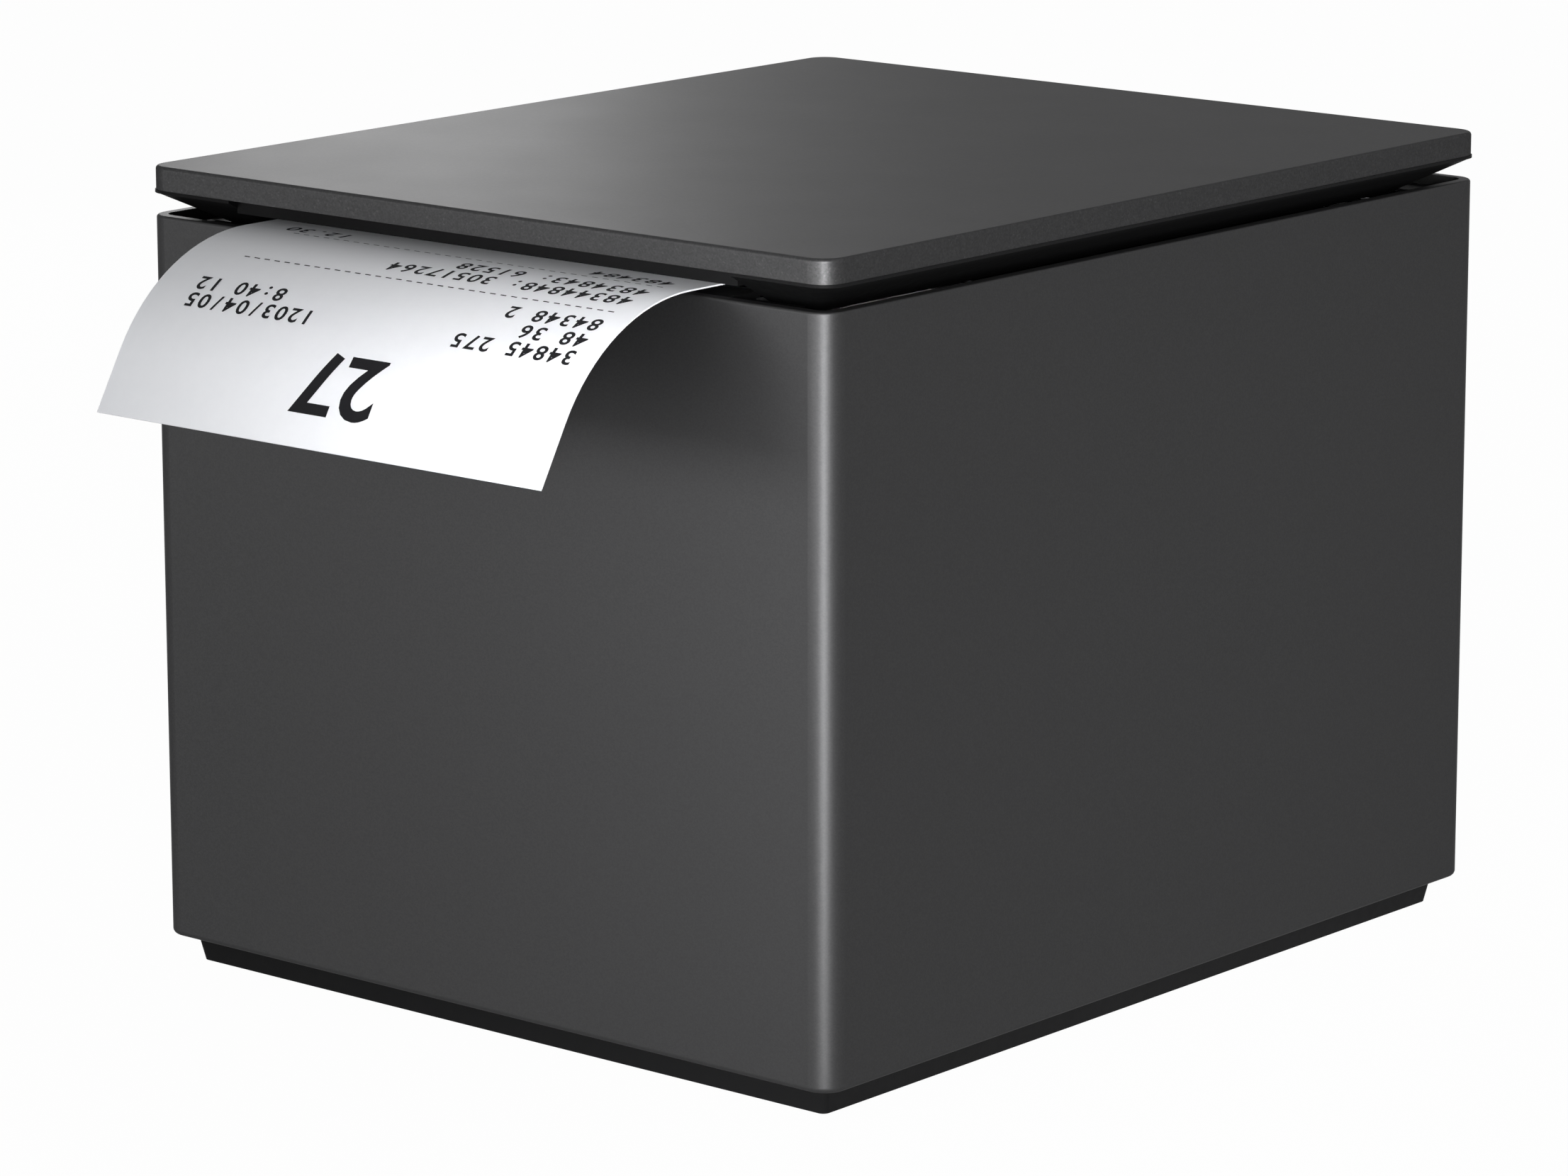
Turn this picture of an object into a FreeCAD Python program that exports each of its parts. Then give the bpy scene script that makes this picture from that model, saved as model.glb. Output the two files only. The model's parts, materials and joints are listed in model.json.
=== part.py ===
import FreeCAD, Part
import math
import os
import re
import Sketcher

V = FreeCAD.Vector

# Sizes that can be set on their own, in millimetres and degrees.
DRIVING = [
    ("paper_width", 79.5, "receipt paper, across"),
    ("paper_sheet", 0.2, "paper thickness as drawn"),
    ("exit_height", 0.9, "paper above the rim where it leaves"),
    ("curl_start", 2.0, "straight paper in front of the sleeve"),
    ("curl_radius", 27.3, "curl of the hanging strip"),
    ("curl_angle", 60.0, "turn of the curl"),
    ("curl_tail", 9.0, "straight end of the strip"),
    ("cut_tab", 2.0, "uncut tab left by the cutter"),
    ("roll_max_radius", 40.0, "largest roll that fits"),
    ("roll_worn", 5.0, "paper already used, off the radius"),
    ("roll_play", 1.0, "bucket radius over the largest roll"),
    ("roll_rest_gap", 0.3, "roll above the bucket floor"),
    ("roll_headroom", 3.05, "largest roll below the lid tray"),
    ("roll_side_play", 0.75, "bucket wall beside the roll"),
    ("core_radius", 9.0, "roll core, outside"),
    ("core_wall", 1.5, "roll core wall"),
    ("sleeve_wall", 1.6, "sleeve wall"),
    ("corner_round", 3.4, "upright corners"),
    ("sleeve_return", 9.0, "bottom flange, from the outer face in"),
    ("rim_round", 0.4, "outer rim edge"),
    ("hem_round", 0.8, "outer bottom edge"),
    ("foot_height", 0.8, "foot pad below the base"),
    ("foot_inset", 16.0, "foot pad inside the body sides"),
    ("foot_round", 6.0, "foot pad corners"),
    ("base_height", 3.95, "plinth height"),
    ("base_inset_top", 3.15, "plinth inset at the sleeve"),
    ("base_inset_bottom", 3.9, "plinth inset at the bottom"),
    ("base_round", 1.0, "plinth corners"),
    ("base_floor", 2.0, "plinth floor"),
    ("base_wall", 2.0, "plinth wall"),
    ("side_bay", 15.2, "room beside the mechanism frame"),
    ("front_bay", 46.8, "room in front of the bucket"),
    ("rear_bay", 8.8, "room behind the bucket"),
    ("board_standoff", 9.6, "board above the floor"),
    ("board_sheet", 1.6, "circuit board thickness"),
    ("board_bay", 6.4, "room between board and bucket"),
    ("bucket_wall", 1.6, "bucket wall"),
    ("lid_gap", 3.5, "gap between rim and lid"),
    ("lid_thickness", 3.3, "lid edge band"),
    ("lid_wall", 1.0, "lid cover wall"),
    ("lip_inset", 1.5, "exit lip behind the front face"),
    ("lip_sheet", 1.2, "exit lip"),
    ("lip_gap", 0.7, "exit lip above the paper"),
    ("lid_round", 0.5, "lid top edge"),
    ("tray_lip", 0.4, "tray lip under the band"),
    ("tray_proud", 0.15, "lip past the band"),
    ("tray_drop", 5.0, "depth of the tapered tray"),
    ("tray_taper", 9.0, "inset of the tray at its bottom"),
    ("tray_skin", 1.6, "tray wall"),
    ("tray_fit", 0.15, "tray inside the cover"),
    ("notch_room", 58.0, "front notch of the tray, front to back"),
    ("deck_drop", 1.6, "deck below the rim"),
    ("deck_sheet", 3.75, "deck ring depth"),
    ("deck_width", 5.0, "deck ring, across"),
    ("deck_fit", 0.2, "deck inside the sleeve"),
    ("ramp_drop", 0.2, "exit ramp below the rim"),
    ("frame_sheet", 1.2, "mechanism frame sheet"),
    ("frame_play", 3.25, "frame beside the paper"),
    ("frame_standoff", 9.2, "frame above the floor"),
    ("frame_setback", 5.6, "frame behind the inner front wall"),
    ("frame_length", 40.0, "frame, front to back"),
    ("platen_setback", 24.4, "platen axis behind the inner front wall"),
    ("platen_radius", 7.0, "platen rubber"),
    ("shaft_radius", 2.5, "platen shaft"),
    ("nip_gap", 0.25, "paper to platen and to head"),
    ("running_gap", 0.05, "radial clearance of turning parts"),
    ("bush_radius", 4.0, "platen bush, outside"),
    ("head_sheet", 0.8, "print head ceramic"),
    ("sink_sheet", 2.0, "heat sink bar"),
    ("head_plate", 1.0, "head frame sheet"),
    ("pivot_radius", 1.0, "head pivot pin"),
    ("cutter_setback", 10.4, "blade plane behind the inner front wall"),
    ("blade_sheet", 0.8, "moving blade"),
    ("blade_home", 1.6, "blade below the paper at rest"),
    ("blade_height", 20.0, "moving blade plate"),
    ("gear_module", 0.8, "gear module"),
    ("gear_width", 3.5, "gear face width"),
    ("axle_radius", 1.5, "reduction gear axle"),
    ("motor_radius", 15.0, "feed motor can"),
    ("motor_length", 15.0, "feed motor can"),
    ("cutter_motor_radius", 8.0, "cutter motor can"),
    ("cutter_motor_length", 20.0, "cutter motor can"),
    ("hinge_inset", 3.4, "hinge axis inside the rear face"),
    ("hinge_rise", 0.55, "hinge axis above the lid bottom"),
    ("hinge_pin_radius", 0.8, "hinge pin"),
    ("hinge_hub", 1.5, "hinge ear hub"),
    ("hinge_spread", 38.0, "hinge ears from the middle"),
    ("ear_half", 2.5, "half width of a hinge ear"),
    ("panel_sheet", 1.6, "port panel"),
    ("port_margin", 3.0, "port window past the board"),
    ("port_height", 18.6, "port window height"),
    ("button_radius", 4.0, "feed button"),
    ("button_proud", 0.6, "feed button past the wall"),
    ("light_radius", 1.2, "status light pipe"),
    ("post_radius", 2.6, "deck posts"),
    ("screw_radius", 1.0, "small screw shank"),
    ("screw_head", 2.0, "small screw head"),
    ("screw_head_height", 0.9, "small screw head"),
]

# Sizes that follow from the ones above.
DERIVED = [
    ("half_paper", "paper_width / 2"),
    ("frame_inner", "half_paper + frame_play"),
    ("frame_outer", "frame_inner + frame_sheet"),
    ("inner_half_width", "frame_outer + side_bay"),
    ("half_width", "inner_half_width + sleeve_wall"),
    ("bucket_radius", "roll_max_radius + roll_play"),
    ("bucket_outer", "bucket_radius + bucket_wall"),
    ("inner_half_depth", "(front_bay + 2 * bucket_outer + rear_bay) / 2"),
    ("half_depth", "inner_half_depth + sleeve_wall"),
    ("bucket_y", "front_bay + bucket_outer - inner_half_depth"),
    ("bucket_half", "half_paper + roll_side_play"),
    ("floor_top", "foot_height + base_floor"),
    ("sleeve_bottom", "foot_height + base_height"),
    ("flange_top", "sleeve_bottom + sleeve_wall"),
    ("board_level", "floor_top + board_standoff"),
    ("board_top", "board_level + board_sheet"),
    ("bucket_floor", "board_top + board_bay + bucket_wall"),
    ("bucket_z", "bucket_floor + bucket_radius"),
    ("tray_bottom", "bucket_floor + 2 * roll_max_radius + roll_headroom"),
    ("lid_bottom", "tray_bottom + tray_drop + tray_lip"),
    ("sleeve_top", "lid_bottom - lid_gap"),
    ("lid_top", "lid_bottom + lid_thickness"),
    ("lid_ceiling", "lid_top - lid_wall"),
    ("deck_top", "sleeve_top - deck_drop"),
    ("deck_bottom", "deck_top - deck_sheet"),
    ("deck_half_x", "inner_half_width - deck_fit"),
    ("deck_half_y", "inner_half_depth - deck_fit"),
    ("paper_level", "sleeve_top + exit_height"),
    ("platen_y", "platen_setback - inner_half_depth"),
    ("platen_z", "paper_level - paper_sheet / 2 - nip_gap - platen_radius"),
    ("head_bottom", "paper_level + paper_sheet / 2 + nip_gap"),
    ("sink_bottom", "head_bottom + head_sheet"),
    ("sink_top", "sink_bottom + sink_sheet"),
    ("head_plate_bottom", "lid_ceiling - head_plate"),
    ("pivot_y", "platen_y + 20"),
    ("pivot_z", "sink_bottom + 0.4"),
    ("roll_radius", "roll_max_radius - roll_worn"),
    ("roll_z", "bucket_floor + roll_rest_gap + roll_radius"),
    ("frame_front", "frame_setback - inner_half_depth"),
    ("frame_back", "frame_front + frame_length"),
    ("frame_level", "floor_top + frame_standoff"),
    ("frame_floor_top", "frame_level + frame_sheet"),
    ("frame_top", "platen_z + bush_radius + 1.5"),
    ("cutter_y", "cutter_setback - inner_half_depth"),
    ("blade_front", "cutter_y - blade_sheet / 2"),
    ("blade_back", "cutter_y + blade_sheet / 2"),
    ("blade_half", "half_paper + 1.75"),
    ("blade_edge", "paper_level - blade_home"),
    ("blade_bottom", "blade_edge - blade_height"),
    ("cutter_plate_front", "blade_back + 2.2"),
    ("cutter_x", "-10"),
    ("cutter_z", "blade_bottom - 12.25"),
    ("gear_in_start", "frame_outer + 1"),
    ("gear_in_end", "gear_in_start + gear_width"),
    ("gear_out_start", "gear_in_end + 0.3"),
    ("gear_out_end", "gear_out_start + gear_width - 0.5"),
    ("hinge_y", "half_depth - hinge_inset"),
    ("hinge_z", "lid_bottom + hinge_rise"),
    ("notch_half", "frame_outer + 0.6"),
    ("notch_back", "notch_room - half_depth"),
    ("lip_front", "lip_inset - half_depth"),
    ("post_x", "half_width - sleeve_return - 0.4 - post_radius"),
    ("board_half", "post_x - post_radius - 0.4"),
    ("port_half", "board_half + port_margin"),
    ("rocker_x", "6 - board_half"),
    ("post_y", "half_depth - sleeve_return - 0.4 - post_radius"),
    ("base_screw_x", "half_width - 6.6"),
    ("base_screw_y", "half_depth - 6.6"),
    ("panel_back", "inner_half_depth - deck_fit"),
    ("panel_front", "panel_back - panel_sheet"),
    ("socket_face", "inner_half_depth + 0.6"),
    ("button_y", "platen_y + 12"),
    ("button_z", "platen_z - 34.5"),
    ("light_y", "button_y + 14"),
    ("button_board_x", "frame_outer + 6"),
    ("button_board_face", "button_board_x + board_sheet"),
    ("button_end", "half_width - 5.4"),
]

# Tooth counts.
PLATEN_TEETH = 24
SMALL_TEETH = 16
LARGE_TEETH = 36
MOTOR_TEETH = 12
CUTTER_TEETH = 14

doc = FreeCAD.newDocument("receipt_printer")
sheet = doc.addObject("Spreadsheet::Sheet", "Sizes")
names = set()
pieces = {}


def fill_sheet():
    rows = [(name, str(size), note) for name, size, note in DRIVING]
    rows += [(name, "=" + formula, "") for name, formula in DERIVED]
    for row, (name, text, note) in enumerate(rows, 1):
        sheet.set(f"A{row}", name)
        sheet.set(f"B{row}", text)
        sheet.set(f"C{row}", note)
        sheet.setAlias(f"B{row}", name)
        names.add(name)
    doc.recompute()


def ref(formula):
    def prefix(match):
        word = match.group(0)
        return "Sizes." + word if word in names else word
    return re.sub(r"[A-Za-z_]\w*", prefix, str(formula))


def num(formula):
    return float(sheet.evalExpression(str(formula)))


def bind(obj, prop, formula):
    obj.setExpression(prop, ref(formula))


# Plain solids placed by formulas.
def box(x, y, z):
    solid = doc.addObject("Part::Box", "block")
    for prop, axis, span in (("Length", "x", x), ("Width", "y", y), ("Height", "z", z)):
        bind(solid, prop, f"({span[1]}) - ({span[0]})")
        bind(solid, "Placement.Base." + axis, span[0])
    return solid


TURNS = {
    "x": FreeCAD.Rotation(V(0, 1, 0), 90),
    "y": FreeCAD.Rotation(V(1, 0, 0), -90),
    "z": FreeCAD.Rotation(),
}


# A cylinder along one axis; centre lists the other two coordinates in x, y, z order.
def rod(axis, centre, span, radius):
    solid = doc.addObject("Part::Cylinder", "rod")
    solid.Placement = FreeCAD.Placement(V(), TURNS[axis])
    others = [letter for letter in "xyz" if letter != axis]
    for letter, formula in zip(others, centre):
        bind(solid, "Placement.Base." + letter, formula)
    bind(solid, "Placement.Base." + axis, span[0])
    bind(solid, "Height", f"({span[1]}) - ({span[0]})")
    bind(solid, "Radius", radius)
    return solid


def gather(parts):
    whole = doc.addObject("Part::Compound", "set")
    whole.Links = parts
    return whole


def fuse(parts):
    whole = doc.addObject("Part::MultiFuse", "joined")
    whole.Shapes = parts
    whole.Refine = True
    return whole


def cut(base, tools):
    left = doc.addObject("Part::Cut", "trimmed")
    left.Base = base
    left.Tool = tools[0] if len(tools) == 1 else gather(tools)
    left.Refine = True
    return left


def coded(shape):
    feature = doc.addObject("Part::Feature", "formed")
    feature.Shape = shape
    return feature


def keep(node, obj):
    obj.Label = node
    pieces[node] = obj
    return obj


def ring(axis, centre, span, outer, inner):
    bore = (f"({span[0]}) - 1", f"({span[1]}) + 1")
    return cut(rod(axis, centre, span, outer), [rod(axis, centre, bore, inner)])


# Bodies drawn from sketches on their own origin planes.
def new_body(name):
    body = doc.addObject("PartDesign::Body", name)
    body.Label = name
    return body


def draw(body, plane, offset, outlines):
    sketch = body.newObject("Sketcher::SketchObject", "outline")
    support = next(f for f in body.Origin.OriginFeatures if f.Role == plane)
    sketch.AttachmentSupport = [(support, "")]
    sketch.MapMode = "FlatFace"
    bind(sketch, "AttachmentOffset.Base.z", offset)
    for points in outlines:
        first = sketch.GeometryCount
        count = len(points)
        corners = [V(num(a), num(b), 0) for a, b in points]
        for i in range(count):
            sketch.addGeometry(Part.LineSegment(corners[i], corners[(i + 1) % count]))
        for i in range(count):
            joint = Sketcher.Constraint("Coincident", first + i, 2, first + (i + 1) % count, 1)
            sketch.addConstraint(joint)
        for i, pair in enumerate(points):
            for kind, formula in zip(("DistanceX", "DistanceY"), pair):
                size = Sketcher.Constraint(kind, -1, 1, first + i, 1, num(formula))
                index = sketch.addConstraint(size)
                bind(sketch, f"Constraints[{index}]", formula)
    return sketch


# A rectangle about the middle with arcs at its corners, on the ground plane.
def draw_rounded(body, offset, half_x, half_y, radius):
    sketch = draw(body, "XY_Plane", offset, [])
    bend = num(radius)
    for sx, sy, start in ((1, -1, -90), (1, 1, 0), (-1, 1, 90), (-1, -1, 180)):
        centre = V(sx * (num(half_x) - bend), sy * (num(half_y) - bend), 0)
        circle = Part.Circle(centre, V(0, 0, 1), bend)
        arc = sketch.addGeometry(Part.ArcOfCircle(circle, math.radians(start), math.radians(start + 90)))
        index = sketch.addConstraint(Sketcher.Constraint("Radius", arc, bend))
        bind(sketch, f"Constraints[{index}]", radius)
        for kind, sign, half, size in (("DistanceX", sx, half_x, centre.x),
                                       ("DistanceY", sy, half_y, centre.y)):
            index = sketch.addConstraint(Sketcher.Constraint(kind, -1, 1, arc, 3, size))
            bind(sketch, f"Constraints[{index}]", f"{sign} * (({half}) - ({radius}))")
    for arc in range(4):
        following = (arc + 1) % 4
        ends = [sketch.getPoint(arc, 2), sketch.getPoint(following, 1)]
        line = sketch.addGeometry(Part.LineSegment(*ends))
        sketch.addConstraint(Sketcher.Constraint("Tangent", arc, 2, line, 1))
        sketch.addConstraint(Sketcher.Constraint("Tangent", line, 2, following, 1))
    return sketch


def rectangle(x, y):
    return [(x[0], y[0]), (x[1], y[0]), (x[1], y[1]), (x[0], y[1])]


def centred(half_x, half_y):
    return rectangle((f"-({half_x})", half_x), (f"-({half_y})", half_y))


def pad(body, sketch, length):
    feature = body.newObject("PartDesign::Pad", "pad")
    feature.Profile = sketch
    bind(feature, "Length", length)
    doc.recompute()
    return feature


def pocket(body, sketch, length):
    feature = body.newObject("PartDesign::Pocket", "pocket")
    feature.Profile = sketch
    bind(feature, "Length", length)
    doc.recompute()
    return feature


def loft(body, lower, upper):
    feature = body.newObject("PartDesign::AdditiveLoft", "loft")
    feature.Profile = lower
    feature.Sections = [upper]
    feature.Ruled = True
    doc.recompute()
    return feature


def fillet(body, base, test, radius):
    picked = [f"Edge{i}" for i, edge in enumerate(base.Shape.Edges, 1) if test(edge)]
    feature = body.newObject("PartDesign::Fillet", "round")
    feature.Base = (base, picked)
    bind(feature, "Radius", radius)
    doc.recompute()
    return feature


def upright(edge):
    ends = [vertex.Point for vertex in edge.Vertexes]
    return len(ends) == 2 and abs(ends[0].z - ends[1].z) > 0.9 * edge.Length


def at_level(level):
    height = num(level)
    return lambda edge: all(abs(vertex.Z - height) < 1e-5 for vertex in edge.Vertexes)


def outside_of(half_x, half_y):
    limit_x, limit_y = num(half_x), num(half_y)

    def test(edge):
        middle = edge.CenterOfMass
        return upright(edge) and abs(middle.x) > limit_x and abs(middle.y) > limit_y
    return test


# Screws with a cross recess; side is +1 when the head is at the high end of the axis.
def screws(node, axis, seats, seat, side, length, radius="screw_radius", head="screw_head"):
    solids = []
    tall = "screw_head_height"
    for centre in seats:
        if side > 0:
            top, shank = (seat, f"{seat} + {tall}"), (f"{seat} - ({length})", seat)
            cross = (f"{seat} + {tall} / 2", f"{seat} + {tall} + 1")
        else:
            top, shank = (f"{seat} - {tall}", seat), (seat, f"{seat} + ({length})")
            cross = (f"{seat} - {tall} - 1", f"{seat} - {tall} / 2")
        body = fuse([rod(axis, centre, top, head), rod(axis, centre, shank, radius)])
        recess = []
        for wide, slim in ((0.65, 0.15), (0.15, 0.65)):
            spans = [(f"({c}) - {k} * {head}", f"({c}) + {k} * {head}")
                     for c, k in zip(centre, (wide, slim))]
            spans.insert("xyz".index(axis), cross)
            recess.append(box(*spans))
        solids.append(cut(body, recess))
    return keep(node, gather(solids))


# Involute gear blank in the plane across its axis, first tooth centred on angle phase.
def involute(angle):
    return math.tan(angle) - angle


def gear_wire(module, teeth, phase):
    pitch = module * teeth / 2
    base = pitch * math.cos(math.radians(20))
    tip, root = pitch + 0.8 * module, pitch - 1.15 * module
    slack = 0.06 / pitch
    half = math.pi / (2 * teeth) - slack + involute(math.radians(20))
    flank = []
    start = max(base, root)
    for step in range(6):
        radius = start + (tip - start) * step / 5
        flank.append((radius, half - involute(math.acos(min(1, base / radius)))))

    def at(radius, angle):
        return V(radius * math.cos(angle), radius * math.sin(angle), 0)

    edges = []
    spacing = 2 * math.pi / teeth
    for tooth in range(teeth):
        middle = phase + tooth * spacing
        rise = [at(r, middle - a) for r, a in flank]
        fall = [at(r, middle + a) for r, a in reversed(flank)]
        foot, heel = at(root, middle - flank[0][1]), at(root, middle + flank[0][1])
        following = at(root, middle + spacing - flank[0][1])
        for points in (rise, fall):
            curve = Part.BSplineCurve()
            curve.interpolate(points)
            edges.append(curve.toShape())
        edges.append(Part.LineSegment(foot, rise[0]).toShape())
        edges.append(Part.LineSegment(rise[-1], fall[0]).toShape())
        edges.append(Part.LineSegment(fall[-1], heel).toShape())
        edges.append(Part.LineSegment(heel, following).toShape())
    return Part.Wire(Part.__sortEdges__(edges))


# Gear along x or y, with an outline seen looking down the axis.
def gear(teeth, phase, axis, centre, span):
    start, end = num(span[0]), num(span[1])
    blank = Part.Face(gear_wire(num("gear_module"), teeth, phase)).extrude(V(0, 0, end - start))
    if axis == "x":
        turn = FreeCAD.Rotation(V(0, 1, 0), V(0, 0, 1), V(1, 0, 0), "ZXY")
        place = V(start, num(centre[0]), num(centre[1]))
    else:
        turn = FreeCAD.Rotation(V(1, 0, 0), V(0, 0, 1), V(0, -1, 0), "ZXY")
        place = V(num(centre[0]), end, num(centre[1]))
    solid = coded(blank)
    solid.Placement = FreeCAD.Placement(place, turn)
    return solid


def mirrored(formula):
    return (f"-({formula})", formula)


fill_sheet()

# Gear train layout: platen, reduction gear and motor, seen from the right.
TRAIN_DOWN = math.radians(-70)
TRAIN_FRONT = math.radians(-110)
platen_axis = ("platen_y", "platen_z")
idler_axis = (
    f"platen_y + gear_module * {(PLATEN_TEETH + SMALL_TEETH) / 2} * {math.cos(TRAIN_DOWN):.6f}",
    f"platen_z + gear_module * {(PLATEN_TEETH + SMALL_TEETH) / 2} * {math.sin(TRAIN_DOWN):.6f}",
)
motor_axis = (
    f"{idler_axis[0]} + gear_module * {(LARGE_TEETH + MOTOR_TEETH) / 2} * {math.cos(TRAIN_FRONT):.6f}",
    f"{idler_axis[1]} + gear_module * {(LARGE_TEETH + MOTOR_TEETH) / 2} * {math.sin(TRAIN_FRONT):.6f}",
)
cutter_axis = ("cutter_x", "cutter_z")
four_posts = [(x, y) for x in mirrored("post_x") for y in mirrored("post_y")]
base_seats = [(x, y) for x in mirrored("base_screw_x") for y in mirrored("base_screw_y")]
frame_seats = [(x, y) for x in mirrored("frame_inner - 7") for y in ("frame_front + 6", "frame_back - 6")]
board_seats = [(x, y) for x in mirrored("bucket_half + 1.5") for y in ("frame_back + 12",
                                                                       "bucket_y + 31")]
lid_seats = [(x, y) for x in mirrored("notch_half + 2.7") for y in ("notch_back + 6", "half_depth - 22")]
bucket_seats = [(x, y) for x in mirrored("deck_half_x - deck_width / 2")
                for y in ("bucket_y - 24", "bucket_y + 24")]

# Outer sleeve.
body = new_body("sleeve_body")
block = pad(body, draw(body, "XY_Plane", "sleeve_bottom", [centred("half_width", "half_depth")]),
            "sleeve_top - sleeve_bottom")
block = fillet(body, block, upright, "corner_round")
block = fillet(body, block, at_level("sleeve_top"), "rim_round")
block = fillet(body, block, at_level("sleeve_bottom"), "hem_round")
block = pocket(body, draw(body, "XY_Plane", "sleeve_top", [centred("inner_half_width",
                                                                   "inner_half_depth")]),
               "sleeve_top - flange_top")
inside = outside_of("inner_half_width - 0.1", "inner_half_depth - 0.1")
inner_corner = lambda edge: inside(edge) and abs(edge.CenterOfMass.x) < num("inner_half_width + 0.1")
block = fillet(body, block, inner_corner, "corner_round - sleeve_wall")
pocket(body, draw(body, "XY_Plane", "flange_top",
                  [centred("half_width - sleeve_return", "half_depth - sleeve_return")]), "sleeve_wall")
window = rectangle(mirrored("port_half"), ("board_level - 0.4", "board_level + port_height"))
pocket(body, draw(body, "XZ_Plane", "-(inner_half_depth - 0.1)", [window]), "sleeve_wall + 0.2")
wall_span = ("-(half_width + 1)", "-(inner_half_width - 1)")
holes = [rod("x", ("button_y", "button_z"), wall_span, "button_radius + 0.2")]
holes.append(rod("x", ("light_y", "button_z"), wall_span, "light_radius + running_gap"))
for seat in base_seats:
    holes.append(rod("z", seat, ("sleeve_bottom - 1", "flange_top + 1"), "screw_radius + running_gap"))
keep("outer_sleeve", cut(body, holes))

# Plinth with its posts, and the pad it stands on.
body = new_body("plinth_body")
low = draw_rounded(body, "foot_height", "half_width - base_inset_bottom",
                   "half_depth - base_inset_bottom",
                   "base_round")
high = draw_rounded(body, "sleeve_bottom", "half_width - base_inset_top", "half_depth - base_inset_top",
                    "base_round")
loft(body, low, high)
hollow = centred("half_width - base_inset_bottom - base_wall",
                 "half_depth - base_inset_bottom - base_wall")
pocket(body, draw(body, "XY_Plane", "sleeve_bottom", [hollow]), "base_height - base_floor")
solids = [body]
drills = []
for seat in four_posts:
    solids.append(rod("z", seat, ("floor_top - 0.5", "deck_bottom"), "post_radius"))
    drills.append(rod("z", seat, ("deck_bottom - 8", "deck_bottom + 1"), "screw_radius + running_gap"))
for seat in base_seats:
    solids.append(rod("z", seat, ("floor_top - 0.5", "sleeve_bottom"), "2.8"))
    drills.append(rod("z", seat, ("foot_height - 1", "sleeve_bottom + 1"), "screw_radius + running_gap"))
    drills.append(rod("z", seat, ("foot_height - 1", "foot_height + screw_head_height + 0.3"),
                      "screw_head + 0.2"))
for seat in frame_seats:
    solids.append(rod("z", seat, ("floor_top - 0.5", "frame_level"), "3.2"))
    drills.append(rod("z", seat, ("frame_level - 6", "frame_level + 1"), "screw_radius + running_gap"))
for seat in board_seats:
    solids.append(rod("z", seat, ("floor_top - 0.5", "board_level"), "3"))
    drills.append(rod("z", seat, ("board_level - 6", "board_level + 1"), "screw_radius + running_gap"))
keep("base_tray", cut(fuse(solids), drills))
screws("base_screws", "z", base_seats, "foot_height + screw_head_height + 0.3", -1, "base_height + 1.6")

body = new_body("foot_pad")
block = pad(body, draw(body, "XY_Plane", "0", [centred("half_width - foot_inset",
                                                       "half_depth - foot_inset")]),
            "foot_height")
fillet(body, block, upright, "foot_round")
keep("foot_pad", body)

# Deck ring under the rim, with exit ramp, screw tabs and hinge ears.
body = new_body("deck_body")
block = pad(body, draw(body, "XY_Plane", "deck_bottom", [centred("deck_half_x", "deck_half_y")]),
            "deck_sheet")
fillet(body, block, upright, "corner_round - sleeve_wall")
opening = centred("deck_half_x - deck_width", "deck_half_y - deck_width")
pocket(body, draw(body, "XY_Plane", "deck_top", [opening]), "deck_sheet")
front = "-deck_half_y"
solids = [body]
solids.append(box(mirrored("deck_half_x - 6"), (front, f"{front} + 3"),
                  ("deck_bottom", "sleeve_top - ramp_drop - 0.3")))
solids.append(box(mirrored("frame_inner - 0.4"), (front, f"{front} + deck_width + 1.7"),
                  ("deck_bottom", "sleeve_top - ramp_drop")))
for sx in (-1, 1):
    for sy in (-1, 1):
        tab_x = sorted((f"{sx} * (post_x - 4)", f"{sx} * (deck_half_x - 1)"), key=num)
        tab_y = sorted((f"{sy} * (post_y - 3.5)", f"{sy} * (deck_half_y - 1)"), key=num)
        solids.append(box(tab_x, tab_y, ("deck_bottom", "deck_bottom + 1.6")))
    ear_x = (f"{sx} * hinge_spread - ear_half", f"{sx} * hinge_spread + ear_half")
    arm = new_body("ear_body")
    outline = [
        ("hinge_y + 0.342 * hinge_hub", "hinge_z - 0.94 * hinge_hub"),
        ("hinge_y - 4.4", "hinge_z - 3.1"),
        ("hinge_y - 4.4", "deck_bottom"),
        ("hinge_y - 7.2", "deck_bottom"),
        ("hinge_y - 7.2", "hinge_z - 1.1"),
        ("hinge_y - 0.342 * hinge_hub", "hinge_z + 0.94 * hinge_hub"),
    ]
    pad(arm, draw(arm, "YZ_Plane", ear_x[0], [outline]), "2 * ear_half")
    solids.append(arm)
    solids.append(rod("x", ("hinge_y", "hinge_z"), ear_x, "hinge_hub"))
    solids.append(box(ear_x, ("hinge_y - 7.2", "deck_half_y - 2"), ("deck_bottom", "deck_bottom + 1.6")))
drills = [rod("z", seat, ("deck_bottom - 1", "deck_top + 1"),
              "screw_radius + running_gap") for seat in four_posts]
for seat in bucket_seats:
    drills.append(rod("z", seat, ("deck_bottom - 1", "deck_bottom + 3"), "screw_radius + running_gap"))
drills.append(rod("x", ("hinge_y", "hinge_z"), mirrored("half_width"), "hinge_pin_radius + running_gap"))
keep("top_deck", cut(fuse(solids), drills))
screws("deck_screws", "z", four_posts, "deck_bottom + 1.6", 1, "7")
pins = []
for sx in (-1, 1):
    pins.append(rod("x", ("hinge_y", "hinge_z"),
                    (f"{sx} * hinge_spread - ear_half - 3", f"{sx} * hinge_spread + ear_half + 3"),
                    "hinge_pin_radius"))
keep("hinge_pins", gather(pins))

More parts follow.
